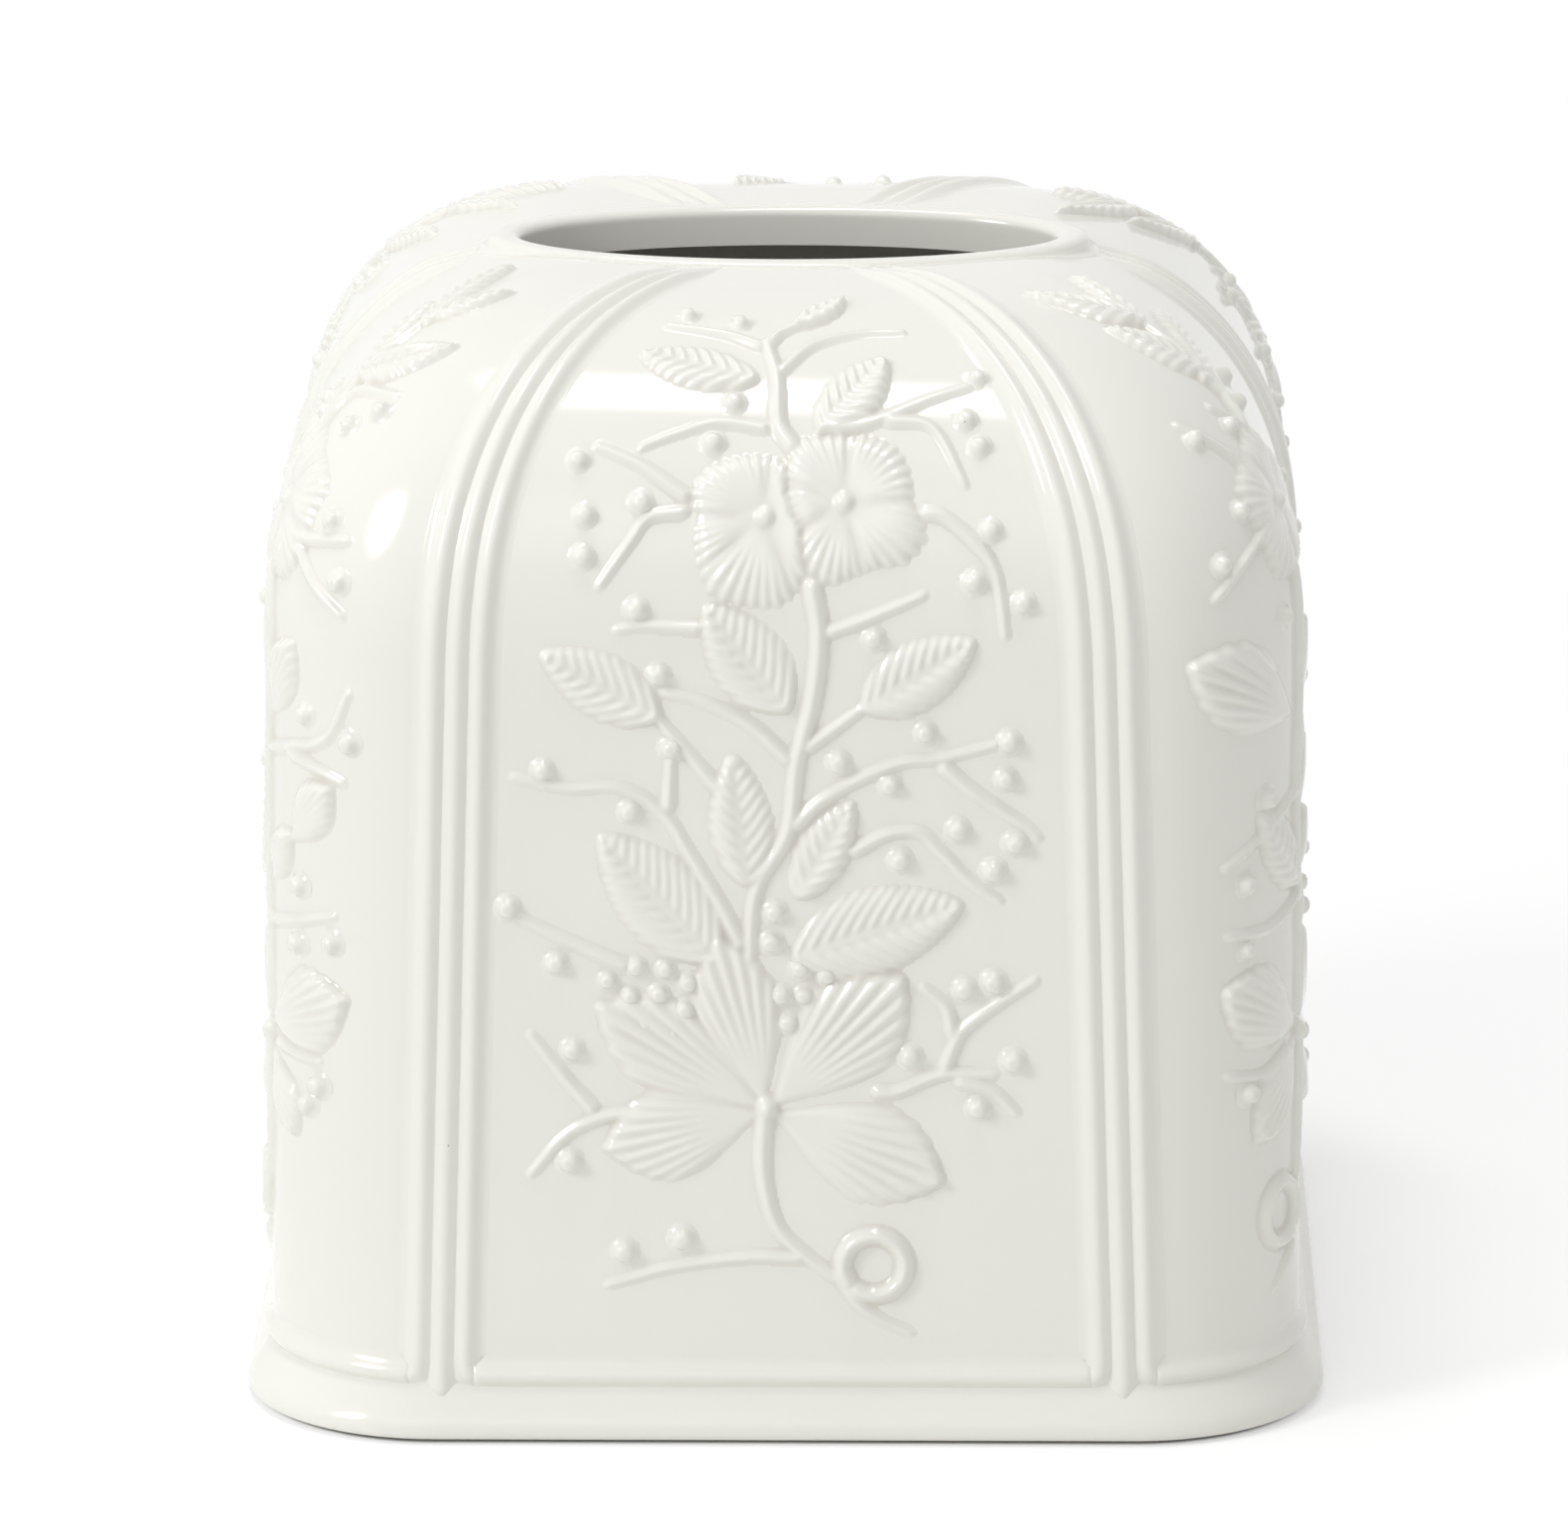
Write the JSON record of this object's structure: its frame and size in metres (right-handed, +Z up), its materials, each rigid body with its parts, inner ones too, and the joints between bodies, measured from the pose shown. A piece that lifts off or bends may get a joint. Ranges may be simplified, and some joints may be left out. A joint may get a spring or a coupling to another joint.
{
  "type": "tissue box cover",
  "caption": "Domed square ceramic cover that stands over a cube tissue box, with an oval opening in the top, reeded ribs and raised flowering sprays on its panels.",
  "frame": {"origin": "middle of the plane that the cover rests on", "axes": "+Z up, front panel towards -Y, long way of the opening along X"},
  "size_m": [0.1472, 0.1472, 0.1519],
  "materials": {
    "white_glaze": "gloss warm white glaze"
  },
  "bodies": {
    "root": {"cover_shell": "white_glaze", "foot_band": "white_glaze", "opening_rim": "white_glaze", "front_right_rib": "white_glaze", "front_left_rib": "white_glaze", "back_left_rib": "white_glaze", "back_right_rib": "white_glaze", "right_side_rib": "white_glaze", "left_side_rib": "white_glaze", "front_sill": "white_glaze", "back_sill": "white_glaze", "front_right_sill": "white_glaze", "front_left_sill": "white_glaze", "back_left_sill": "white_glaze", "back_right_sill": "white_glaze", "front_stems": "white_glaze", "front_leaves": "white_glaze", "front_flowers": "white_glaze", "front_berries": "white_glaze", "back_stems": "white_glaze", "back_leaves": "white_glaze", "back_flowers": "white_glaze", "back_berries": "white_glaze", "front_right_stems": "white_glaze", "front_right_leaves": "white_glaze", "front_right_flowers": "white_glaze", "front_right_berries": "white_glaze", "front_left_stems": "white_glaze", "front_left_leaves": "white_glaze", "front_left_flowers": "white_glaze", "front_left_berries": "white_glaze", "back_left_stems": "white_glaze", "back_left_leaves": "white_glaze", "back_left_flowers": "white_glaze", "back_left_berries": "white_glaze", "back_right_stems": "white_glaze", "back_right_leaves": "white_glaze", "back_right_flowers": "white_glaze", "back_right_berries": "white_glaze"}
  },
  "joints": []
}
